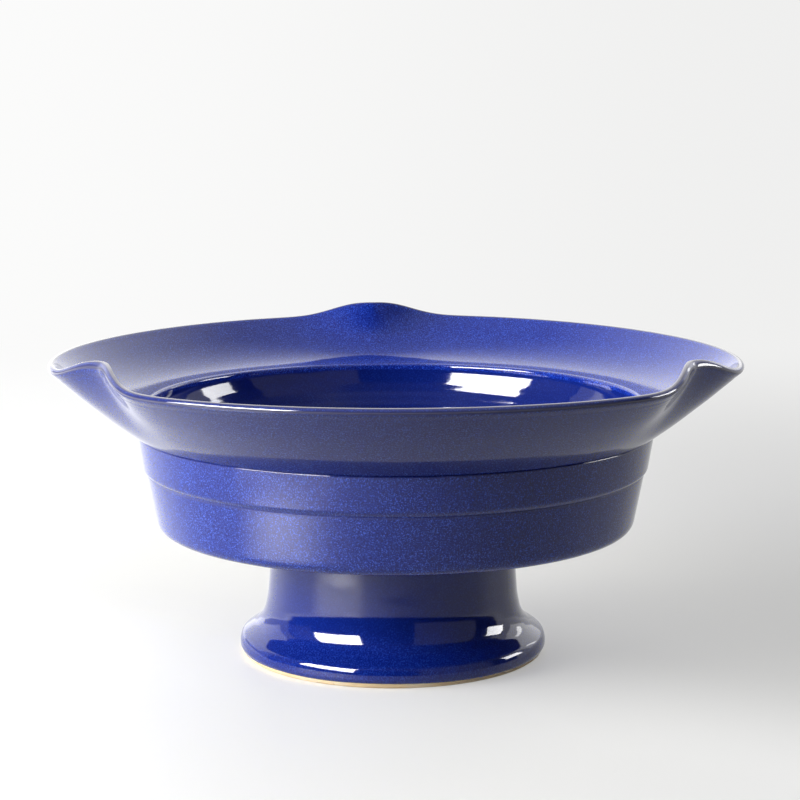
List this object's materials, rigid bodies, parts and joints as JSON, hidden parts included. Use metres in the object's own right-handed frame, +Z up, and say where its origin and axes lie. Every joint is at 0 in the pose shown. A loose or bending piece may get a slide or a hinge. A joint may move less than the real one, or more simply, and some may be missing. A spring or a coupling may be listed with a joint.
{
  "type": "footed ikebana vessel",
  "caption": "Wide glazed stoneware bowl with a flared, pinched rim on a hollow pedestal foot, for arranging flowers in shallow water.",
  "frame": {"origin": "on the surface it stands on, under the middle of the bowl and foot", "axes": "+Z up out of the bowl, -Y towards the front, +X to the right"},
  "size_m": [0.3061, 0.3019, 0.1424],
  "materials": {
    "stoneware": "bare fired clay, matte",
    "slip": "fired clay slip, matte",
    "cobalt_glaze": "glossy cobalt glaze with fine light speckles"
  },
  "bodies": {
    "root": {"bowl_clay": "stoneware", "pedestal_clay": "stoneware", "luting_slip": "slip", "bowl_glaze": "cobalt_glaze", "pedestal_glaze": "cobalt_glaze", "hollow_glaze": "cobalt_glaze"}
  },
  "joints": []
}
